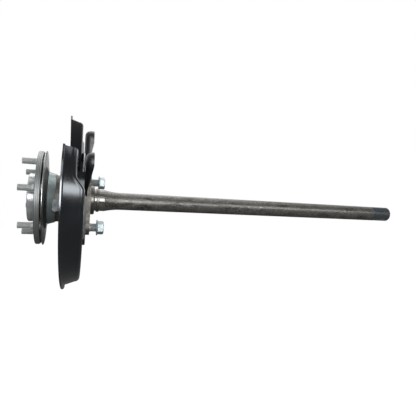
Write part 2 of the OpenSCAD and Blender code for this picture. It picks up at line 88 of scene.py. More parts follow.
Tree = bpy.types.NodeTree
Socket = bpy.types.NodeSocket
Points = list[tuple[float, float]]
Radius = Callable[[float], float]


class Body(Enum):
    """The CAD bodies that a new piece can ride on."""

    CASE = "case"
    AXLE = "axle"


class Slot(Enum):
    """The record's material slots."""

    FORGED_STEEL = "forged_steel"
    STUD_STEEL = "stud_steel"
    PLATED_SHEET = "plated_sheet"
    BEARING_STEEL = "bearing_steel"
    CAGE_BRASS = "cage_brass"
    RING_STEEL = "ring_steel"
    SPRING_STEEL = "spring_steel"
    SEAL_RUBBER = "seal_rubber"
    CASE_IRON = "case_iron"
    COVER_ZINC = "cover_zinc"
    SHIELD_BLACK = "shield_black"
    BRACKET_BLACK = "bracket_black"
    BOLT_ZINC = "bolt_zinc"
    NUT_ZINC = "nut_zinc"


class Joining(Enum):
    """What a tool does to a piece: it is added, or it is cut out."""

    UNION = "UNION"
    DIFFERENCE = "DIFFERENCE"


class Side(Enum):
    """The two sides of the axle, by the sign of Y."""

    NEAR = -1
    FAR = 1


Finishes = dict[Slot, bpy.types.Material]


def linear(hex_colour: str) -> tuple[float, float, float, float]:
    """Turns an sRGB hex colour into the linear values that Blender's sockets take.

    Args:
        hex_colour: The colour as "#rrggbb".

    Returns:
        Red, green and blue in linear light, and an alpha of 1.
    """
    parts = [int(hex_colour[i : i + 2], 16) / 255 for i in (1, 3, 5)]
    red, green, blue = (c / 12.92 if c <= 0.04045 else ((c + 0.055) / 1.055) ** 2.4 for c in parts)
    return red, green, blue, 1.0


def add_node(
    tree: Tree,
    kind: str,
    settings: dict[str, Any] | None = None,
    inputs: dict[Any, Any] | None = None,
) -> bpy.types.Node:
    """Adds a node, sets its properties, and fills its inputs with values or links.

    Args:
        tree: The node tree that gets the node.
        kind: Blender's name of the node's type.
        settings: Properties of the node.
        inputs: For each input, by name or number, a plain value or the socket to link from.

    Returns:
        The new node.
    """
    node = tree.nodes.new(kind)
    for name, value in (settings or {}).items():
        setattr(node, name, value)
    for key, value in (inputs or {}).items():
        if isinstance(value, Socket):
            tree.links.new(value, node.inputs[key])
        else:
            node.inputs[key].default_value = value
    return node


def maths(tree: Tree, operation: str, *values: float | Socket) -> Socket:
    """Adds a Math node on the values and returns its result."""
    inputs = dict(enumerate(values))
    return add_node(tree, "ShaderNodeMath", {"operation": operation}, inputs).outputs[0]


def noise(
    tree: Tree, place: Socket, size_mm: float, detail: float = 2.0, rough: float = 0.5
) -> Socket:
    """Adds a noise with patches of a size in mm and returns its value."""
    inputs = {"Vector": place, "Scale": 1 / (size_mm * MM), "Detail": detail, "Roughness": rough}
    return add_node(tree, "ShaderNodeTexNoise", inputs=inputs).outputs["Fac"]


def bands(tree: Tree, run: Socket, band_mm: float) -> Socket:
    """Adds soft bands of one width along a vector's X and returns their value."""
    inputs = {"Vector": run, "Scale": WAVE_BAND / (band_mm * MM)}
    return add_node(tree, "ShaderNodeTexWave", {"bands_direction": "X"}, inputs).outputs["Fac"]


def rise(
    tree: Tree,
    value: Socket,
    edges: tuple[float, float],
    ends: tuple[float, float] = (0.0, 1.0),
    soft: bool = True,
) -> Socket:
    """Adds a rise from one level to another.

    Args:
        tree: The tree that gets the node.
        value: The socket that drives the rise.
        edges: The values of that socket at which the rise starts and ends.
        ends: The levels there.
        soft: True where the rise starts and ends softly, and False for a straight line.

    Returns:
        The socket of the level.
    """
    settings = {"interpolation_type": "SMOOTHSTEP" if soft else "LINEAR"}
    names = ("From Min", "From Max", "To Min", "To Max")
    inputs = {"Value": value, **dict(zip(names, (*edges, *ends)))}
    return add_node(tree, "ShaderNodeMapRange", settings, inputs).outputs["Result"]


def mix_values(tree: Tree, mask: Socket, first: float | Socket, second: float | Socket) -> Socket:
    """Mixes two values by a mask and returns the result."""
    inputs = {0: mask, 2: first, 3: second}
    return add_node(tree, "ShaderNodeMix", {"data_type": "FLOAT"}, inputs).outputs[0]


def mix_colours(tree: Tree, mask: Socket, first: str | Socket, second: str | Socket) -> Socket:
    """Mixes two colours by a mask.

    Args:
        tree: The tree that gets the node.
        mask: The mask, 0 for the first colour and 1 for the second.
        first: A hex colour, or a socket.
        second: A hex colour, or a socket.

    Returns:
        The socket of the mixed colour.
    """
    inputs: dict[int, Any] = {0: mask}
    for number, colour in ((6, first), (7, second)):
        inputs[number] = linear(colour) if isinstance(colour, str) else colour
    return add_node(tree, "ShaderNodeMix", {"data_type": "RGBA"}, inputs).outputs[2]


def bump(
    tree: Tree, height: Socket, depth_mm: float, strength: float, normal: Socket | None = None
) -> Socket:
    """Adds a bump.

    Args:
        tree: The tree that gets the node.
        height: The socket of the height, from 0 to 1.
        depth_mm: The depth that a height of 1 stands for.
        strength: The bump's strength.
        normal: The normal that it is laid over, or None for the plain surface.

    Returns:
        The socket of the new normal.
    """
    inputs = {"Strength": strength, "Distance": depth_mm * MM, "Height": height}
    if normal is not None:
        inputs["Normal"] = normal
    return add_node(tree, "ShaderNodeBump", inputs=inputs).outputs["Normal"]


def add_surface(tree: Tree, inputs: dict[str, Any]) -> None:
    """Adds the principled shader with its inputs, and the output of the material."""
    shader = add_node(tree, "ShaderNodeBsdfPrincipled", inputs=inputs)
    add_node(tree, "ShaderNodeOutputMaterial", inputs={"Surface": shader.outputs["BSDF"]})


def new_material(name: str) -> tuple[bpy.types.Material, Tree]:
    """Makes an empty node material.

    Args:
        name: The material's name.

    Returns:
        The material and its tree.
    """
    material = bpy.data.materials.new(name)
    material.use_nodes = True
    material.node_tree.nodes.clear()
    return material, material.node_tree


@dataclass(frozen=True)
class Finish:
    """A finish that is the same all over a piece, with patches, grain and lathe marks."""

    name: str
    base: str
    patch: str
    metallic: float
    roughness: float
    patch_mm: float
    patch_share: float = 0.5
    gloss_spread: float = 0.06
    grain_mm: float = 0.8
    grain_depth_mm: float = 0.01
    coat: float = 0.0
    coat_roughness: float = 0.1
    specular: float = 0.5
    specular_tint: str = "#ffffff"
    lathe_mm: float = 0.0
    lathe_depth_mm: float = 0.012
    patch_detail: float = 4.0
    patch_raggedness: float = 0.6
    patch_edges: tuple[float, float] = (0.38, 0.66)
    gloss_edges: tuple[float, float] = (0.3, 0.7)
    least_roughness: float = 0.03
    grain_strength: float = 0.6
    lathe_strength: float = 0.5

    def build(self) -> bpy.types.Material:
        """Builds the node material.

        Returns:
            The material, ready to be assigned.
        """
        material, tree = new_material(self.name)
        place = add_node(tree, "ShaderNodeTexCoord").outputs["Object"]
        patches = noise(tree, place, self.patch_mm, self.patch_detail, self.patch_raggedness)
        mask = rise(tree, patches, self.patch_edges, (0.0, self.patch_share))
        glossiest = max(self.roughness - self.gloss_spread, self.least_roughness)
        dullest = min(self.roughness + self.gloss_spread, 1.0)
        grain = noise(tree, place, self.grain_mm)
        normal = bump(tree, grain, self.grain_depth_mm, self.grain_strength)
        if self.lathe_mm:
            normal = self.lathe_marks(tree, place, normal)
        surface = {
            "Base Color": mix_colours(tree, mask, self.base, self.patch),
            "Metallic": self.metallic,
            "Roughness": rise(tree, patches, self.gloss_edges, (glossiest, dullest), soft=False),
            "Normal": normal,
            "Specular IOR Level": self.specular,
            "Specular Tint": linear(self.specular_tint),
            "Coat Weight": self.coat,
            "Coat Roughness": self.coat_roughness,
        }
        add_surface(tree, surface)
        return material

    def lathe_marks(self, tree: Tree, place: Socket, normal: Socket) -> Socket:
        """Adds the rings that a lathe tool leaves round the axle, on walls and on faces alike.

        Args:
            tree: The material's tree.
            place: The socket with the place on the object.
            normal: The normal that the rings are laid over.

        Returns:
            The socket of the new normal.
        """
        split = add_node(tree, "ShaderNodeSeparateXYZ", inputs={0: place}).outputs
        flat = add_node(tree, "ShaderNodeCombineXYZ", inputs={1: split["Y"], 2: split["Z"]})
        length = {"operation": "LENGTH"}
        radius = add_node(tree, "ShaderNodeVectorMath", length, {0: flat.outputs[0]})
        run = maths(tree, "ADD", split["X"], radius.outputs["Value"])
        along = add_node(tree, "ShaderNodeCombineXYZ", inputs={0: run}).outputs[0]
        rings = bands(tree, along, self.lathe_mm)
        return bump(tree, rings, self.lathe_depth_mm, self.lathe_strength, normal)


@dataclass(frozen=True)
class ForgedShaftSteel:
    """The axle's own steel: turned at the flange, ground at the seat, forged bar, dark spline."""

    name: str = "forged_steel_turned_ground_and_oiled"
    pilot: str = "#bfc3c4"
    turned: str = "#949797"
    ring: str = "#5a5d5d"
    ground: str = "#706f6b"
    forged: str = "#686663"
    stain: str = "#3b3936"
    # Pale flecks of the scale, lightened further as painted glints of the highlight
    pale_fleck_and_glint: str = "#b4b2ac"
    spline: str = "#5d6366"
    spline_speck: str = "#7d8486"
    metallic: float = 0.65
    pilot_roughness: float = 0.27
    flange_roughness: float = 0.42
    seat_roughness: float = 0.16
    bar_roughness: float = 0.37
    oil_gloss: float = 0.1
    flange_start_mm: float = -0.6
    flange_border_mm: float = 0.4
    seat_start_mm: float = 57.0
    seat_end_mm: float = 122.7
    seat_border_mm: float = 1.0
    spline_start_mm: float = 801.0
    spline_border_mm: float = 8.0
    spline_ragged_mm: float = 30.0
    drawn_share: float = 0.45
    stain_mm: float = 14.0
    stain_detail: float = 6.0
    stain_raggedness: float = 0.65
    stain_edges: tuple[float, float] = (0.46, 0.66)
    stain_share: float = 0.7
    speck_mm: float = 2.0
    speck_detail: float = 3.0
    speck_raggedness: float = 0.7
    speck_edges: tuple[float, float] = (0.55, 0.68)
    speck_share: float = 0.6
    ring_mm: float = 2.6
    ring_share: float = 0.7
    scale_depth_mm: float = 0.25
    scale_strength: float = 0.7

    def zone(self, tree: Tree, run: Socket, start_mm: float, border_mm: float) -> Socket:
        """Adds a mask that is 0 before a station along the axle and 1 behind its border."""
        return rise(tree, run, (start_mm * MM, (start_mm + border_mm) * MM))

    def build(self) -> bpy.types.Material:
        """Builds the node material.

        Returns:
            The material, ready to be assigned.
        """
        material, tree = new_material(self.name)
        place = add_node(tree, "ShaderNodeTexCoord").outputs["Object"]
        along = add_node(tree, "ShaderNodeSeparateXYZ", inputs={0: place}).outputs["X"]
        # Mill scale and oil stains: patches drawn out along the bar by forging and rolling. The
        # scale's pale flecks are also painted light as painted glints of the highlight
        stretch = {"Vector": place, "Scale": (self.drawn_share, 1.0, 1.0)}
        drawn = add_node(tree, "ShaderNodeMapping", inputs=stretch).outputs[0]
        stains = noise(tree, drawn, self.stain_mm, self.stain_detail, self.stain_raggedness)
        specks = noise(tree, drawn, self.speck_mm, self.speck_detail, self.speck_raggedness)
        stained = rise(tree, stains, self.stain_edges, (0.0, self.stain_share))
        specked = rise(tree, specks, self.speck_edges, (0.0, self.speck_share))
        # The zones, each from its start to the end of the axle; the spline's border is ragged
        flange = self.zone(tree, along, self.flange_start_mm, self.flange_border_mm)
        seat = self.zone(tree, along, self.seat_start_mm, self.seat_border_mm)
        bar_start = self.seat_end_mm - self.seat_border_mm
        bar = self.zone(tree, along, bar_start, self.seat_border_mm)
        ragged = maths(tree, "MULTIPLY_ADD", stains, self.spline_ragged_mm * MM, along)
        spline = self.zone(tree, ragged, self.spline_start_mm, self.spline_border_mm)
        # The flange's rim keeps the tool's rings, drawn coarser than the real feed
        rings = bands(tree, place, self.ring_mm)
        ring_shade = maths(tree, "MULTIPLY", rings, self.ring_share)
        turned = mix_colours(tree, ring_shade, self.turned, self.ring)
        skin = mix_colours(tree, stained, self.forged, self.stain)
        # Pale flecks of the scale: partly the scale's own tone, partly painted glints of the
        # highlight
        skin = mix_colours(tree, specked, skin, self.pale_fleck_and_glint)
        teeth = mix_colours(tree, specked, self.spline, self.spline_speck)
        colour: str | Socket = self.pilot
        for mask, layer in ((flange, turned), (seat, self.ground), (bar, skin), (spline, teeth)):
            colour = mix_colours(tree, mask, colour, layer)
        # The pilot shines, the turned flange is softer, the mill scale is half dull but for oil
        roughness: float | Socket = self.pilot_roughness
        levels = (self.flange_roughness, self.seat_roughness, self.bar_roughness)
        for mask, level in zip((flange, seat, bar), levels):
            roughness = mix_values(tree, mask, roughness, level)
        roughness = maths(tree, "MULTIPLY_ADD", stained, -self.oil_gloss, roughness)
        rim_rings = maths(tree, "MULTIPLY", rings, maths(tree, "SUBTRACT", 1.0, seat))
        height = maths(tree, "MULTIPLY_ADD", bar, specks, rim_rings)
        surface = {
            "Base Color": colour,
            "Metallic": self.metallic,
            "Roughness": roughness,
            "Normal": bump(tree, height, self.scale_depth_mm, self.scale_strength),
        }
        add_surface(tree, surface)
        return material


# Each finish, by the slot that it fills, with what it gives the eye
FINISHES: dict[Slot, Finish | ForgedShaftSteel] = {
    Slot.FORGED_STEEL: ForgedShaftSteel(),
    # Zinc-phosphated steel: even grey, half dull from its fine crystals
    Slot.STUD_STEEL: Finish(
        "phosphated_stud_steel", "#aaaead", "#959998", 0.15, 0.42, patch_mm=3, grain_mm=0.6
    ),
    # Bare pressed sheet: a soft shine with faint rings from the press and the lathe
    Slot.PLATED_SHEET: Finish(
        "pressed_bare_steel_sheet", "#bfc0bd", "#9a9b97", 1.0, 0.34, patch_mm=9, patch_share=0.4,
        gloss_spread=0.08, grain_mm=1.0, lathe_mm=1.6,
    ),
    # Ground and honed bearing steel: close to a mirror
    Slot.BEARING_STEEL: Finish(
        "ground_bearing_steel", "#cbced2", "#b4b8bd", 1.0, 0.15, patch_mm=6, patch_share=0.3,
        gloss_spread=0.04, grain_depth_mm=0.002,
    ),
    # Stamped brass: warm yellow, softly shining
    Slot.CAGE_BRASS: Finish(
        "stamped_brass", "#b8924e", "#94733b", 1.0, 0.32, patch_mm=5, patch_share=0.4,
        gloss_spread=0.08, grain_depth_mm=0.008,
    ),
    # Turned steel with a brown film of oil: rings from the tool, drawn at 1.2 mm where the real
    # feed is about 0.2 mm
    Slot.RING_STEEL: Finish(
        "turned_ring_steel", "#6b6966", "#4e4c49", 0.8, 0.36, patch_mm=6, grain_depth_mm=0.006,
        lathe_mm=1.2,
    ),
    # Blued spring steel: dark and smooth
    Slot.SPRING_STEEL: Finish(
        "blued_spring_steel", "#585c62", "#43474d", 1.0, 0.33, patch_mm=6, patch_share=0.4,
        grain_depth_mm=0.004,
    ),
    # Nitrile rubber: near black and dull
    Slot.SEAL_RUBBER: Finish(
        "moulded_nitrile_rubber", "#1b1b1c", "#242425", 0.0, 0.6, patch_mm=4, gloss_spread=0.05,
        grain_mm=0.5,
    ),
    # Oiled cast iron: dark grey-brown, with the pebbled skin of the sand mould
    Slot.CASE_IRON: Finish(
        "oiled_cast_iron", "#56534d", "#393733", 0.4, 0.45, patch_mm=6, patch_share=0.6,
        gloss_spread=0.1, grain_mm=1.2, grain_depth_mm=0.05,
    ),
    # Zinc plate on pressed steel: blue-grey with a soft shine
    Slot.COVER_ZINC: Finish(
        "zinc_plated_pressing", "#949f9f", "#7d8a8c", 0.65, 0.34, patch_mm=10, gloss_spread=0.07,
        grain_depth_mm=0.008,
    ),
    # Black electro-coat: a smooth, even and glossy dip paint over pressed sheet
    Slot.SHIELD_BLACK: Finish(
        "black_electro_coated_sheet", "#0b0c0f", "#101216", 0.0, 0.17, patch_mm=26,
        gloss_spread=0.04, grain_mm=1.6, grain_depth_mm=0.004, coat=1.0, coat_roughness=0.2,
        specular=1.0, specular_tint="#dfebf6",
    ),
    # The same coat on hot-rolled plate, whose skin dulls it
    Slot.BRACKET_BLACK: Finish(
        "black_electro_coated_plate", "#111316", "#191c1f", 0.0, 0.44, patch_mm=9,
        patch_share=0.6, gloss_spread=0.1, grain_mm=0.9, grain_depth_mm=0.02, coat=0.25,
        coat_roughness=0.28,
    ),
    # Dull zinc on a rolled thread: mid grey
    Slot.BOLT_ZINC: Finish(
        "zinc_plated_bolt", "#949999", "#7d8383", 0.25, 0.42, patch_mm=4, gloss_spread=0.07,
        grain_mm=0.6, grain_depth_mm=0.012,
    ),
    # Zinc with a pale blue passivate: half bright
    Slot.NUT_ZINC: Finish(
        "blue_passivated_nut", "#9da8ab", "#8d999c", 0.5, 0.42, patch_mm=6, patch_share=0.4,
        grain_mm=0.6, grain_depth_mm=0.008,
    ),
}

# Nodes whose own finish departs from their slot's
NODE_FINISHES: dict[str, Finish] = {
    # The sensor's block gets a darker copy of the cover's zinc: painted shade, for the shade that
    # it sits in beside the bright cover
    "sensor_mount": Finish("zinc_plated_block_painted_in_shade", "#4c5153", "#3a3e40", 0.5, 0.42, patch_mm=6),
}


class LatheLoft:
    """Collects solids made of rings round lines along the axle, and turns them into one piece."""

    def __init__(self, name: str) -> None:
        """Starts an empty loft for the piece of that name."""
        self.name = name
        self.mesh = bmesh.new()

    def add(
        self,
        stations: Sequence[tuple[float, Radius]],
        columns: int,
        place_mm: tuple[float, float],
        closed: bool,
    ) -> None:
        """Adds one solid.

        Args:
            stations: For each ring its station in mm, and its radius in mm at an angle from the
                top.
            columns: The number of points on a ring.
            place_mm: The Y and Z of the solid's line.
            closed: True where the last ring joins the first, as round a bore, and False where
                both ends are closed by a disc.
        """
        rings = []
        for x, radius in stations:
            ring = []
            for k in range(columns):
                turn = 2 * math.pi * k / columns
                r = radius(turn)
                point = (x, place_mm[0] - r * math.sin(turn), place_mm[1] + r * math.cos(turn))
                ring.append(self.mesh.verts.new([c * MM for c in point]))
            rings.append(ring)
        pairs = list(zip(rings, rings[1:]))
        if closed:
            pairs.append((rings[-1], rings[0]))
        for first, second in pairs:
            for k in range(columns):
                n = (k + 1) % columns
                self.mesh.faces.new((first[k], first[n], second[n], second[k]))
        if not closed:
            self.mesh.faces.new(rings[0])
            self.mesh.faces.new(rings[-1])

    def finish(self, sharp_degrees: float) -> bpy.types.Object:
        """Makes the piece, with smooth faces and sharp edges.

        Args:
            sharp_degrees: The angle between two faces above which their edge stays sharp.

        Returns:
            The new object.
        """
        piece = solid_from(self.mesh, self.name)
        sharpen(piece, sharp_degrees)
        return piece


def solid_from(mesh: bmesh.types.BMesh, name: str) -> bpy.types.Object:
    """Turns a built mesh into an object whose faces look outwards.

    Args:
        mesh: The mesh, which is used up.
        name: The object's name.

    Returns:
        The new object.
    """
    bmesh.ops.remove_doubles(mesh, verts=mesh.verts, dist=WELD_M)
    bmesh.ops.recalc_face_normals(mesh, faces=mesh.faces)
    data = bpy.data.meshes.new(name)
    mesh.to_mesh(data)
    mesh.free()
    piece = bpy.data.objects.new(name, data)
    bpy.context.collection.objects.link(piece)
    return piece


def sharpen(piece: bpy.types.Object, sharp_degrees: float) -> None:
    """Smooths a piece's faces and keeps its edges sharp.

    Args:
        piece: The piece.
        sharp_degrees: The angle between two faces above which their edge stays sharp.
    """
    mesh = bmesh.new()
    mesh.from_mesh(piece.data)
    for face in mesh.faces:
        face.smooth = True
    for edge in mesh.edges:
        edge.smooth = edge.calc_face_angle(0.0) < math.radians(sharp_degrees)
    mesh.to_mesh(piece.data)
    mesh.free()


def prism(name: str, outline_mm: Points, start_mm: float, end_mm: float) -> bpy.types.Object:
    """Makes a solid with one outline between two stations along the axle.

    Args:
        name: The solid's name.
        outline_mm: The Y and Z of the outline's points, in order.
        start_mm: The first station.
        end_mm: The last station.

    Returns:
        The new object.
    """
    mesh = bmesh.new()
    ends = [
        [mesh.verts.new((x * MM, y * MM, z * MM)) for y, z in outline_mm]
        for x in (start_mm, end_mm)
    ]
    for end in ends:
        mesh.faces.new(end)
    for k in range(len(outline_mm)):
        n = (k + 1) % len(outline_mm)
        mesh.faces.new((ends[0][k], ends[0][n], ends[1][n], ends[1][k]))
    return solid_from(mesh, name)


def combine(base: bpy.types.Object, tool: bpy.types.Object, joining: Joining) -> None:
    """Adds a tool to a piece or cuts it out of the piece, and removes the tool.

    Args:
        base: The piece.
        tool: The other solid.
        joining: Whether it is added or cut out.
    """
    step = base.modifiers.new("combine", "BOOLEAN")
    step.operation, step.solver, step.object = joining.value, "EXACT", tool
    graph = bpy.context.evaluated_depsgraph_get()
    combined = bpy.data.meshes.new_from_object(base.evaluated_get(graph))
    base.modifiers.clear()
    spent = (base.data, tool.data)
    base.data = combined
    bpy.data.objects.remove(tool)
    for data in spent:
        bpy.data.meshes.remove(data)
    combined.name = base.name


def drill(
    piece: bpy.types.Object,
    places: Sequence[tuple[float, float]],
    radius_mm: float,
    columns: int,
    sheet_mm: tuple[float, float],
) -> None:
    """Cuts round holes through a sheet along the axle.

    Args:
        piece: The piece that the sheet belongs to.
        places: The Y and Z of each hole.
        radius_mm: The radius of the holes.
        columns: The number of points round a hole.
        sheet_mm: The stations of the sheet's front and back face. A thin sheet may give one of
            them twice.
    """
    start, end = sheet_mm[0] - CUT_REACH_MM, sheet_mm[1] + CUT_REACH_MM
    turns = [2 * math.pi * k / columns for k in range(columns)]
    for y, z in places:
        outline = [(y + radius_mm * math.cos(t), z + radius_mm * math.sin(t)) for t in turns]
        combine(piece, prism("hole", outline, start, end), Joining.DIFFERENCE)


def smooth_share(value: float) -> float:
    """Returns a share from 0 to 1 that starts and ends softly."""
    value = min(max(value, 0.0), 1.0)
    return value * value * (3 - 2 * value)


def round_ring(radius_mm: float) -> Radius:
    """Returns the radius of a plain round ring."""
    return lambda turn: radius_mm


@dataclass(frozen=True)
class Thread:
    """An outside thread between two stations, which fades over one pitch at both ends."""

    start_mm: float
    end_mm: float
    radius_mm: float
    pitch_mm: float
    depth_share: float = 0.61
    crest_share: float = 0.16
    steps_per_pitch: int = 8

    def radius(self, x: float, turn: float) -> float:
        """Works out the radius at one place of the thread.

        Args:
            x: The station in mm.
            turn: The angle from the top in radians.

        Returns:
            The radius in mm.
        """
        fade = min((x - self.start_mm) / self.pitch_mm, (self.end_mm - x) / self.pitch_mm, 1.0)
        phase = (x / self.pitch_mm - turn / (2 * math.pi)) % 1.0
        slope = abs(2 * phase - 1)
        fall = min(max((slope - self.crest_share) / (1 - 2 * self.crest_share), 0.0), 1.0)
        return self.radius_mm - self.pitch_mm * self.depth_share * fall * max(fade, 0.0)

    def stations(self) -> list[tuple[float, Radius]]:
        """Works out the thread's rings.

        Returns:
            The station of each ring with its radius.
        """
        length = self.end_mm - self.start_mm
        count = max(round(length / self.pitch_mm * self.steps_per_pitch), self.steps_per_pitch)
        places = [self.start_mm + length * i / count for i in range(count + 1)]
        return [(x, partial(self.radius, x)) for x in places]


def install(
    piece: bpy.types.Object, body: Body, slot: Slot, node: str, finishes: Finishes
) -> None:
    """Gives a piece its finish, its body and the CAD node that it stands for.

    Args:
        piece: The new object.
        body: The body that it rides on.
        slot: Its material slot.
        node: The CAD node that it replaces.
        finishes: The built materials by slot.
    """
    piece.data.materials.append(finishes[slot])
    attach(piece, body.value)
    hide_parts(node)
    LOG.info("%s: %d faces, replaces %s", piece.name, len(piece.data.polygons), node)


@dataclass
class StudSet:
    """The six wheel studs: a rolled thread, a plain shoulder, a pressed shank and a head."""

    count: int = 6
    circle_mm: float = 69.85
    first_degrees: float = 16.9
    radius_mm: float = 6.0
    length_mm: float = 28.0
    pitch_mm: float = 1.5
    tip_mm: float = 0.96
    shoulder_mm: float = 4.6
    shoulder_run_mm: float = 0.2
    shank_mm: float = 6.6
    web_mm: float = 8.0
    head_radius_mm: float = 8.6
    head_mm: float = 3.9
    edge_mm: float = 0.8
    columns: int = 28

    def places(self) -> Points:
        """Returns the Y and Z of each stud."""
        turns = [math.radians(self.first_degrees + 360 * i / self.count) for i in range(self.count)]
        return [(-self.circle_mm * math.sin(t), self.circle_mm * math.cos(t)) for t in turns]

    def build(self, finishes: Finishes) -> None:
        """Builds the studs and puts them in place of the plain ones.

        Args:
            finishes: The built materials by slot.
        """
        loft = LatheLoft("threaded_wheel_studs")
        r, e = self.radius_mm, self.edge_mm
        head_end = self.web_mm + self.head_mm
        thread = Thread(-self.length_mm + e, -self.shoulder_mm, r, self.pitch_mm)
        plain = (
            (-self.shoulder_mm + self.shoulder_run_mm, r),
            (0.0, r),
            (e, self.shank_mm),
            (self.web_mm, self.shank_mm),
            (self.web_mm, self.head_radius_mm),
            (head_end - e, self.head_radius_mm),
            (head_end, self.head_radius_mm - e),
        )
        stations = [(-self.length_mm, round_ring(r - self.tip_mm)), *thread.stations()]
        stations += [(x, round_ring(radius)) for x, radius in plain]
        for place in self.places():
            loft.add(stations, self.columns, place, closed=False)
        piece = loft.finish(SHARP_THREAD_DEGREES)
        install(piece, Body.AXLE, Slot.STUD_STEEL, "wheel_studs", finishes)


@dataclass
class BoltSet:
    """The two case bolts, with a low round head and a rolled thread behind the case."""

    places: tuple[tuple[float, float], ...] = ((-50.0, -52.0), (50.0, 37.0))
    radius_mm: float = 8.0
    pitch_mm: float = 2.0
    head_start_mm: float = 72.0
    head_end_mm: float = 80.0
    head_radius_mm: float = 12.0
    thread_start_mm: float = 95.5
    end_mm: float = 119.5
    tip_mm: float = 1.12
    edge_mm: float = 0.8
    columns: int = 32

    def build(self, finishes: Finishes) -> None:
        """Builds the bolts and puts them in place of the plain ones.

        Args:
            finishes: The built materials by slot.
        """
        loft = LatheLoft("threaded_case_bolts")
        r, e = self.radius_mm, self.edge_mm
        plain = (
            (self.head_start_mm, self.head_radius_mm - e),
            (self.head_start_mm + e, self.head_radius_mm),
            (self.head_end_mm, self.head_radius_mm),
            (self.head_end_mm, r),
            (self.thread_start_mm - e, r),
        )
        thread = Thread(self.thread_start_mm, self.end_mm - e, r, self.pitch_mm)
        stations = [(x, round_ring(radius)) for x, radius in plain]
        stations += [*thread.stations(), (self.end_mm, round_ring(r - self.tip_mm))]
        for place in self.places:
            loft.add(stations, self.columns, place, closed=False)
        piece = loft.finish(SHARP_THREAD_DEGREES)
        install(piece, Body.CASE, Slot.BOLT_ZINC, "case_bolts", finishes)


@dataclass
class NutSet:
    """The two flange nuts: a coned flange and a hexagon with chamfered corners."""

    places: tuple[tuple[float, float, float], ...] = ((107.4, -50.0, -52.0), (113.1, 50.0, 37.0))
    flats_mm: float = 22.0
    flange_radius_mm: float = 14.8
    flange_mm: float = 2.7
    flange_edge_mm: float = 0.2
    height_mm: float = 12.8
    chamfer_mm: float = 1.6
    chamfer_steps: int = 4
    bore_mm: float = 8.05
    edge_mm: float = 0.8
    columns: int = 72

    def hexagon(self, limit_mm: float, turn: float) -> float:
        """Returns the hexagon's radius at an angle, cut by a cone to a limit."""
        return min(self.flats_mm / 2 / math.cos(turn % (math.pi / 3) - math.pi / 6), limit_mm)

    def build(self, finishes: Finishes) -> None:
        """Builds the nuts and puts them in place of the plain ones.

        Args:
            finishes: The built materials by slot.
        """
        loft = LatheLoft("chamfered_flange_nuts")
        corner = self.flats_mm / 2 / math.cos(math.pi / 6)
        e = self.edge_mm
        for x, y, z in self.places:
            top = x + self.height_mm
            stations = [
                (x, round_ring(self.flange_radius_mm - self.flange_edge_mm)),
                (x + self.flange_edge_mm, round_ring(self.flange_radius_mm)),
                (x + e, round_ring(self.flange_radius_mm)),
                (x + self.flange_mm, partial(self.hexagon, corner)),
            ]
            for i in range(self.chamfer_steps + 1):
                share = i / self.chamfer_steps
                limit = corner - (corner - self.flats_mm / 2) * share
                station = top - self.chamfer_mm * (1 - share)
                stations.append((station, partial(self.hexagon, limit)))
            stations += [
                (top, round_ring(self.bore_mm + e)),
                (top - e, round_ring(self.bore_mm)),
                (x + e, round_ring(self.bore_mm)),
                (x, round_ring(self.bore_mm + e)),
            ]
            loft.add(stations, self.columns, (y, z), closed=True)
        piece = loft.finish(SHARP_NUT_DEGREES)
        install(piece, Body.CASE, Slot.NUT_ZINC, "case_nuts", finishes)


@dataclass(frozen=True)
class Arm:
    """One arm beside the shield's opening, where the outer web lies nearer to the wheel."""

    tip_degrees: float
    end_degrees: float
    ramp_degrees: float
    level_mm: float


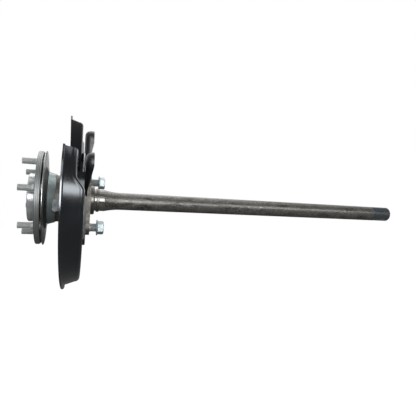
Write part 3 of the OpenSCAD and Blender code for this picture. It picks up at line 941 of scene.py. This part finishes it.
@dataclass
class PressedShield:
    """The dust shield: one pressed sheet with a leaning rim, a lip and two ramped arms."""

    back_mm: float = 81.5
    sheet_mm: float = 1.5
    wall_mm: float = 160.0
    flare: float = 0.33
    corner_mm: float = 8.0
    corner_steps: int = 8
    corner_run_mm: float = 2.0
    rim_mm: float = 52.0
    lean_degrees: float = 2.9
    lip_mm: float = 6.4
    tip_lip_mm: float = 2.2
    tip_fade_degrees: float = 10.0
    hem_mm: float = 3.4
    hem_run_mm: float = 1.5
    hem_root_mm: float = 0.8
    near_arm: Arm = Arm(59.5, 85.0, 9.0, 68.5)
    far_arm: Arm = Arm(349.5, 324.0, 4.0, 77.0)
    web_mm: float = 95.2
    step_mm: float = 97.0
    step_run_mm: float = 4.0
    hub_mm: float = 45.3
    hole_mm: float = 8.3
    hole_columns: int = 32
    column_degrees: float = 0.8

    def wall(self, x: float) -> float:
        """Returns the outer radius of the flared wall at a station."""
        return self.wall_mm + self.flare * (self.back_mm - self.corner_mm - x)

    def back_level(self, turn: float) -> float:
        """Works out how far back the outer web reaches, with a soft ramp to each arm.

        Args:
            turn: The angle from the top in degrees.

        Returns:
            The station in mm.
        """
        for arm in (self.near_arm, self.far_arm):
            low, high = sorted((arm.tip_degrees, arm.end_degrees))
            if low <= turn <= high:
                share = smooth_share(1 - abs(arm.end_degrees - turn) / arm.ramp_degrees)
                return arm.level_mm + (self.back_mm - arm.level_mm) * share
        return self.back_mm

    def dish(self, level: float, inset: float) -> Points:
        """Works out one face of the dish, from the hub round the corner to the wall.

        Args:
            level: How far back the outer web reaches, in mm.
            inset: How far the face lies inside the outer one, in mm.

        Returns:
            Radii and stations.
        """
        corner_x = level - self.corner_mm
        centre = self.wall(corner_x) - self.corner_mm
        r = self.corner_mm - inset
        back, web = self.back_mm - inset, level - inset
        points = [(self.hub_mm, back), (self.web_mm, back), (self.step_mm - inset, back)]
        points += [(self.step_mm - inset, web), (self.step_mm + self.step_run_mm, web)]
        points += [(centre - self.corner_run_mm, web)]
        for i in range(self.corner_steps + 1):
            a = math.pi / 2 * i / self.corner_steps
            points.append((centre + r * math.sin(a), corner_x + r * math.cos(a)))
        run_out = corner_x - self.corner_run_mm
        return [*points, (self.wall(run_out) - inset, run_out)]

    def section(self, turn: float) -> tuple[Points, Points]:
        """Works out the sheet's section at an angle from the top.

        Args:
            turn: The angle in degrees.

        Returns:
            Radii and stations, first along the outer face of the dish and round the lip to its
            front, then along the inner face, both from the hub outwards.
        """
        level, t, hem = self.back_level(turn), self.sheet_mm, self.hem_mm
        lean = max(math.sin(math.radians(turn)), 0.0)
        rim = self.rim_mm - self.wall_mm * lean * math.tan(math.radians(self.lean_degrees))
        share = smooth_share((turn - self.near_arm.tip_degrees) / self.tip_fade_degrees)
        lip = self.tip_lip_mm + (self.lip_mm - self.tip_lip_mm) * share
        # The lip is hemmed: the sheet lies double, so it reads thicker than the wall
        hem_x, root_x = rim + hem, rim + hem + self.hem_run_mm
        outer = self.dish(level, 0.0)
        outer += [(self.wall(root_x), root_x), (self.wall(hem_x) + self.hem_root_mm, hem_x)]
        edge = self.wall(rim) + lip
        outer += [(edge - t / 2, hem_x), (edge, hem_x - t / 2), (edge, rim + t / 4)]
        outer += [(edge - t / 4, rim)]
        inner = self.dish(level, t)
        inner += [(self.wall(root_x) - t, root_x), (self.wall(rim) - t / 2, rim)]
        return outer, inner

    def columns(self) -> list[float]:
        """Works out the angles of the columns.

        Returns:
            Degrees, from the near tip round the bottom to the far tip and over the opening.
        """
        near, far = self.near_arm, self.far_arm
        stops = [near.tip_degrees, near.end_degrees, far.end_degrees, far.tip_degrees]
        stops.append(near.tip_degrees + 360)
        turns = []
        for start, end in zip(stops, stops[1:]):
            count = math.ceil((end - start) / self.column_degrees)
            turns += [start + (end - start) * i / count for i in range(count)]
        return turns

    def sheet(self) -> bpy.types.Object:
        """Builds the sheet without its small holes.

        Returns:
            The sheet as a solid.
        """
        mesh = bmesh.new()

        def ring(points: Points, turn: float) -> list[bmesh.types.BMVert]:
            """Adds the points of one face at an angle in degrees and returns them."""
            side, up = -math.sin(math.radians(turn)), math.cos(math.radians(turn))
            return [mesh.verts.new((x * MM, r * side * MM, r * up * MM)) for r, x in points]

        turns = self.columns()
        rows = [tuple(ring(points, turn) for points in self.section(turn)) for turn in turns]
        last_dish = turns.index(self.far_arm.tip_degrees)
        for i, (outer, inner) in enumerate(rows):
            next_outer, next_inner = rows[(i + 1) % len(rows)]
            # Over the opening only the ring round the hub goes on
            dish = i < last_dish
            for face, next_face in ((outer, next_outer), (inner, next_inner)):
                for j in range(len(face) - 1 if dish else 1):
                    quad = (face[j], face[j + 1], next_face[j + 1], next_face[j])
                    if quad[0].co != quad[1].co or quad[3].co != quad[2].co:
                        mesh.faces.new(quad)
            for edge in (0, -1 if dish else 1):
                mesh.faces.new((outer[edge], next_outer[edge], next_inner[edge], inner[edge]))
        # The two cut ends beside the opening
        for outer, inner in (rows[0], rows[last_dish]):
            for j in range(1, len(inner) - 1):
                mesh.faces.new((outer[j], outer[j + 1], inner[j + 1], inner[j]))
            mesh.faces.new((*outer[len(inner) - 1 :], inner[-1]))
        used = {vert for face in mesh.faces for vert in face.verts}
        for vert in [v for v in mesh.verts if v not in used]:
            mesh.verts.remove(vert)
        return solid_from(mesh, "pressed_dust_shield")

    def build(self, finishes: Finishes) -> None:
        """Builds the shield and puts it in place of the plain one.

        Args:
            finishes: The built materials by slot.
        """
        shield = self.sheet()
        drill(shield, CASE_HOLES, self.hole_mm, self.hole_columns, (self.back_mm, self.back_mm))
        sharpen(shield, SHARP_SHEET_DEGREES)
        install(shield, Body.CASE, Slot.SHIELD_BLACK, "dust_shield", finishes)


@dataclass
class FoldedBracket:
    """The caliper bracket: a heavy plate with two ears whose edges are bent back all round."""

    front_mm: float = 81.5
    plate_mm: float = 6.0
    half_mm: float = 65.0
    low_mm: float = -85.0
    top_mm: float = 51.0
    corner_mm: float = 14.0
    tilt_degrees: float = 24.5
    ear_half_mm: float = 72.0
    ear_rise_mm: float = 103.0
    ear_mm: float = 18.0
    fall_shares: tuple[float, float] = (0.5, 0.75)
    bend_mm: float = 11.0
    fold_mm: float = 4.5
    run_out_mm: float = 48.0
    ends_mm: tuple[tuple[Side, float], ...] = ((Side.NEAR, 95.5), (Side.FAR, 98.9))
    trim_mm: float = 40.0
    hub_mm: float = 45.3
    hub_columns: int = 96
    hole_mm: float = 8.3
    hole_columns: int = 32
    pin_hole_mm: float = 6.5
    pin_columns: int = 28
    steps: int = 7
    leg_steps: int = 24
    tip_steps: int = 20

    def tilted(self, y: float, z: float) -> tuple[float, float]:
        """Turns a place in the ears' own frame into Y and Z."""
        a = math.radians(self.tilt_degrees)
        return y * math.cos(a) - z * math.sin(a), y * math.sin(a) + z * math.cos(a)

    def bend(self, radius: float, x: float) -> float:
        """Returns half the ear's width at a station, on a bend of that radius."""
        rise_mm = max(self.front_mm + self.bend_mm - x, 0.0)
        return self.ear_mm - self.bend_mm + math.sqrt(max(radius**2 - rise_mm**2, 0.0))

    def section(self, top: float) -> Points:
        """Works out half the section of an ear.

        Args:
            top: The station to which the bent edge stands here, in mm.

        Returns:
            Half widths and stations, from the middle of the front face round to the back face.
        """
        back = self.front_mm + self.plate_mm
        bend_x, outer = self.front_mm + self.bend_mm, self.bend_mm
        inner = outer - self.fold_mm
        start = math.acos((bend_x - back) / inner)
        rise_turns = [math.pi / 2 * i / self.steps for i in range(self.steps + 1)]
        span = math.pi / 2 - start
        fall_turns = [math.pi / 2 - span * i / self.steps for i in range(self.steps + 1)]
        points = [(0.0, self.front_mm)]
        for x in [min(bend_x - outer * math.cos(a), top) for a in rise_turns]:
            points.append((self.bend(outer, x), x))
        points += [(self.bend(outer, top), top), (self.bend(inner, top), top)]
        for x in [min(bend_x - inner * math.cos(a), top) for a in fall_turns]:
            points.append((self.bend(inner, x), x))
        return [*points, (0.0, back)]

    def ear(self, side: Side, end_mm: float) -> bpy.types.Object:
        """Builds one ear, from its root in the plate round its tip and back.

        Args:
            side: The side that it stands on.
            end_mm: The station of the edge's end.

        Returns:
            The ear as a solid.
        """
        span = (self.ear_half_mm * self.fall_shares[0], self.ear_rise_mm * self.fall_shares[1])
        length = math.hypot(*span)
        down = (-side.value * span[0] / length, -span[1] / length)
        across = (-down[1], down[0])
        back = self.front_mm + self.plate_mm

        def spot(place: tuple[float, float, float], r: float) -> tuple[float, float]:
            """Finds a half width in the ears' own frame.

            Args:
                place: The shares of the half width across and up, and how far down the leg.
                r: The half width in mm.

            Returns:
                The place's sideways and upward distance in mm.
            """
            wide, tall, fall = place
            y = side.value * self.ear_half_mm + across[0] * wide * r + down[0] * (tall * r + fall)
            z = self.ear_rise_mm + across[1] * wide * r + down[1] * (tall * r + fall)
            return y, z

        legs, tip = self.leg_steps, self.tip_steps
        places = [(1.0, 0.0, length * (1 - i / legs)) for i in range(legs)]
        turns = [math.pi * i / tip for i in range(tip + 1)]
        places += [(math.cos(a), -math.sin(a), 0.0) for a in turns]
        places += [(-1.0, 0.0, length * (i + 1) / legs) for i in range(legs)]
        mesh = bmesh.new()
        rows = []
        for place in places:
            height = spot(place, self.ear_mm)[1] - self.run_out_mm
            share = min(max(height / (self.ear_rise_mm - self.run_out_mm), 0.0), 1.0)
            row = []
            for r, x in self.section(min(end_mm, back + (end_mm - back) * share)):
                y, z = self.tilted(*spot(place, r))
                row.append(mesh.verts.new((x * MM, y * MM, z * MM)))
            rows.append(row)
        for first, second in zip(rows, rows[1:]):
            for j in range(len(first) - 1):
                mesh.faces.new((first[j], first[j + 1], second[j + 1], second[j]))
        bmesh.ops.remove_doubles(mesh, verts=mesh.verts, dist=WELD_M)
        # One face closes the root
        bmesh.ops.holes_fill(mesh, edges=mesh.edges, sides=0)
        return solid_from(mesh, f"ear_{side.value}")

    def outline(self) -> Points:
        """Works out the plate's outline, a rectangle with round corners.

        Returns:
            The Y and Z of its points.
        """
        points = []
        r = self.corner_mm
        right, left = self.half_mm - r, r - self.half_mm
        top, low = self.top_mm - r, self.low_mm + r
        for quarter, (y, z) in enumerate(((right, top), (left, top), (left, low), (right, low))):
            for i in range(self.steps + 1):
                a = math.pi / 2 * (quarter + i / self.steps)
                points.append((y + r * math.cos(a), z + r * math.sin(a)))
        return points

    def build(self, finishes: Finishes) -> None:
        """Builds the bracket and puts it in place of the plain one.

        Args:
            finishes: The built materials by slot.
        """
        back = self.front_mm + self.plate_mm
        bracket = prism("folded_caliper_bracket", self.outline(), self.front_mm, back)
        for side, end_mm in self.ends_mm:
            combine(bracket, self.ear(side, end_mm), Joining.UNION)
        # Behind the plate itself nothing is left of the ears' roots
        trim = prism("trim", self.outline(), back, back + self.trim_mm)
        combine(bracket, trim, Joining.DIFFERENCE)
        pins = [self.tilted(s.value * self.ear_half_mm, self.ear_rise_mm) for s, _ in self.ends_mm]
        plate_mm = (self.front_mm, back)
        drill(bracket, ((0.0, 0.0),), self.hub_mm, self.hub_columns, plate_mm)
        drill(bracket, CASE_HOLES, self.hole_mm, self.hole_columns, plate_mm)
        drill(bracket, pins, self.pin_hole_mm, self.pin_columns, plate_mm)
        sharpen(bracket, SHARP_SHEET_DEGREES)
        install(bracket, Body.CASE, Slot.BRACKET_BLACK, "caliper_bracket", finishes)


@dataclass
class CarriedNodes:
    """The CAD nodes that keep their shape and get a finish, by the slot that the record gives."""

    replaced: tuple[str, ...] = (
        "wheel_studs", "case_bolts", "case_nuts", "dust_shield", "caliper_bracket",
    )

    def dress(self, frame: dict[str, Any], finishes: Finishes) -> None:
        """Assigns each node's finish.

        Args:
            frame: The loaded CAD frame.
            finishes: The built materials by slot.
        """
        for part in frame["record"]["subparts"]:
            node = part["node"]
            if node in self.replaced:
                continue
            own = NODE_FINISHES.get(node)
            material = own.build() if own else finishes[Slot(part["material_slot"])]
            slots = frame["nodes"][node].data.materials
            if not slots:
                slots.append(material)
            for i in range(len(slots)):
                slots[i] = material
            LOG.info("%s: dressed in %s", node, material.name)


@dataclass(frozen=True)
class Softbox:
    """A rectangular soft lamp, placed by the direction in which a point of the object sees it."""

    name: str
    aim_mm: tuple[float, float, float]
    towards: tuple[float, float, float]
    distance_m: float
    width_m: float
    height_m: float
    radiance: float

    def build(self) -> None:
        """Adds the lamp. Its power follows from its radiance and its area."""
        light = bpy.data.lights.new(self.name, "AREA")
        light.shape = "RECTANGLE"
        light.size, light.size_y = self.width_m, self.height_m
        light.energy = self.radiance * math.pi * self.width_m * self.height_m
        lamp = bpy.data.objects.new(self.name, light)
        direction = Vector(self.towards).normalized()
        lamp.location = Vector(self.aim_mm) * MM + direction * self.distance_m
        lamp.rotation_euler = direction.to_track_quat("Z", "Y").to_euler()
        bpy.context.collection.objects.link(lamp)


@dataclass
class Studio:
    """The camera of the photograph, the floor, the lamps and the surrounding light."""

    lens_mm: float = 32.934
    sensor_mm: float = 36.0
    camera_mm: tuple[float, float, float] = (66.322, -798.203, -5.058)
    yaw_degrees: float = 19.354
    roll_degrees: float = 2.67
    floor_z_mm: float = -420.0
    floor_half_m: float = 6.0
    floor_colour: str = "#474746"
    floor_grain_mm: float = 40.0
    floor_roughness: tuple[float, float] = (0.85, 0.95)
    floor_seen: float = 0.97
    floor_mirrored: float = 0.05
    fill: float = 0.5
    room_mirrored: float = 0.09
    room_edges: tuple[float, float] = (-0.3, 0.7)
    softboxes: tuple[Softbox, ...] = (
        # Gives the bright band on the shield's wall and the light line on the seat
        Softbox(
            "front_strip_softbox", aim_mm=(66, -150, 20), towards=(0.0, -0.99, 0.1),
            distance_m=1.5, width_m=0.7, height_m=0.84, radiance=10.5,
        ),
        # Gives the light line along the bar
        Softbox(
            "front_right_softbox", aim_mm=(300, -60, 0), towards=(0.55, -0.8, 0.2),
            distance_m=1.5, width_m=1.0, height_m=0.3, radiance=6.0,
        ),
        # Gives the soft sheen above the band
        Softbox(
            "upper_front_softbox", aim_mm=(0, -40, 20), towards=(-0.1, -0.8, 0.57),
            distance_m=1.5, width_m=0.8, height_m=0.4, radiance=2.4,
        ),
        # Lights upper faces and the floor
        Softbox(
            "overhead_soft_light", aim_mm=(300, 0, 0), towards=(0.05, 0.1, 1.0),
            distance_m=1.6, width_m=2.4, height_m=1.2, radiance=1.0,
        ),
        # Keeps the far side readable
        Softbox(
            "rear_fill_softbox", aim_mm=(200, 60, 0), towards=(0.1, 0.62, 0.78),
            distance_m=1.8, width_m=1.6, height_m=0.9, radiance=1.6,
        ),
    )

    def build(self) -> None:
        """Sets up everything that isn't part of the object."""
        self.add_camera()
        self.add_floor()
        self.light_the_world()
        for softbox in self.softboxes:
            softbox.build()
        bpy.context.scene.view_settings.view_transform = "Standard"

    def add_camera(self) -> None:
        """Adds the camera where the photograph was taken from."""
        yaw, roll = math.radians(self.yaw_degrees), math.radians(self.roll_degrees)
        forward = Vector((math.sin(yaw), math.cos(yaw), 0))
        right = Vector((math.cos(yaw), -math.sin(yaw), 0))
        up = Vector((0, 0, 1))
        side = math.cos(roll) * right + math.sin(roll) * up
        top = math.cos(roll) * up - math.sin(roll) * right
        data = bpy.data.cameras.new("photo_camera")
        data.lens, data.sensor_width = self.lens_mm, self.sensor_mm
        camera = bpy.data.objects.new("photo_camera", data)
        turn = Matrix((side, top, -forward)).transposed()
        camera.matrix_world = Matrix.Translation(Vector(self.camera_mm) * MM) @ turn.to_4x4()
        bpy.context.collection.objects.link(camera)
        bpy.context.scene.camera = camera

    def ray_masks(self, tree: Tree) -> tuple[Socket, Socket]:
        """Adds the masks of the rays that see a background.

        Args:
            tree: The tree that gets the nodes.

        Returns:
            A mask of camera and transmission rays, and a mask of glossy rays.
        """
        path = add_node(tree, "ShaderNodeLightPath").outputs
        clear = maths(tree, "MAXIMUM", path["Is Camera Ray"], path["Is Transmission Ray"])
        return clear, path["Is Glossy Ray"]

    def add_floor(self) -> None:
        """Adds a floor well below the part, which keeps its shadow and reads as white.

        Camera and transmission rays see its full glow. Glossy rays see a weak one, because the
        photograph's black shield mirrors a dark floor.
        """
        half = self.floor_half_m
        data = bpy.data.meshes.new("studio_floor")
        corners = [(-half, -half), (half, -half), (half, half), (-half, half)]
        data.from_pydata([(x, y, self.floor_z_mm * MM) for x, y in corners], [], [(0, 1, 2, 3)])
        floor = bpy.data.objects.new("studio_floor", data)
        bpy.context.collection.objects.link(floor)
        material, tree = new_material("matt_floor_that_glows_white")
        place = add_node(tree, "ShaderNodeTexCoord").outputs["Object"]
        grain = noise(tree, place, self.floor_grain_mm)
        roughness = rise(tree, grain, (0.0, 1.0), self.floor_roughness, soft=False)
        paint = {"Color": linear(self.floor_colour), "Roughness": roughness}
        matt = add_node(tree, "ShaderNodeBsdfDiffuse", inputs=paint)
        clear, glossy = self.ray_masks(tree)
        mirrored = maths(tree, "MULTIPLY", glossy, self.floor_mirrored)
        strength = maths(tree, "MULTIPLY_ADD", clear, self.floor_seen, mirrored)
        white = {"Color": (1, 1, 1, 1), "Strength": strength}
        glow = add_node(tree, "ShaderNodeEmission", inputs=white)
        shaders = {0: matt.outputs[0], 1: glow.outputs[0]}
        both = add_node(tree, "ShaderNodeAddShader", inputs=shaders)
        add_node(tree, "ShaderNodeOutputMaterial", inputs={"Surface": both.outputs[0]})
        floor.data.materials.append(material)

    def light_the_world(self) -> None:
        """Surrounds the part with a white sweep behind it and a dim room on the camera's side."""
        world = bpy.data.worlds.new("white_sweep_and_dim_room")
        world.use_nodes = True
        tree = world.node_tree
        tree.nodes.clear()
        bpy.context.scene.world = world
        place = add_node(tree, "ShaderNodeTexCoord").outputs["Generated"]
        depth = add_node(tree, "ShaderNodeSeparateXYZ", inputs={0: place}).outputs["Y"]
        room = rise(tree, depth, self.room_edges, (self.room_mirrored, 1.0))
        clear, glossy = self.ray_masks(tree)
        strength = mix_values(tree, clear, mix_values(tree, glossy, self.fill, room), 1.0)
        white = {"Color": (1, 1, 1, 1), "Strength": strength}
        sky = add_node(tree, "ShaderNodeBackground", inputs=white)
        add_node(tree, "ShaderNodeOutputWorld", inputs={"Surface": sky.outputs[0]})


def main() -> None:
    """Builds the looks of the part and its studio."""
    logging.basicConfig(level=logging.INFO, format="%(name)s: %(message)s")
    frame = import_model()
    Studio().build()
    finishes = {slot: finish.build() for slot, finish in FINISHES.items()}
    CarriedNodes().dress(frame, finishes)
    for sub_assembly in (StudSet(), BoltSet(), NutSet(), PressedShield(), FoldedBracket()):
        sub_assembly.build(finishes)


if __name__ == "__main__":
    main()
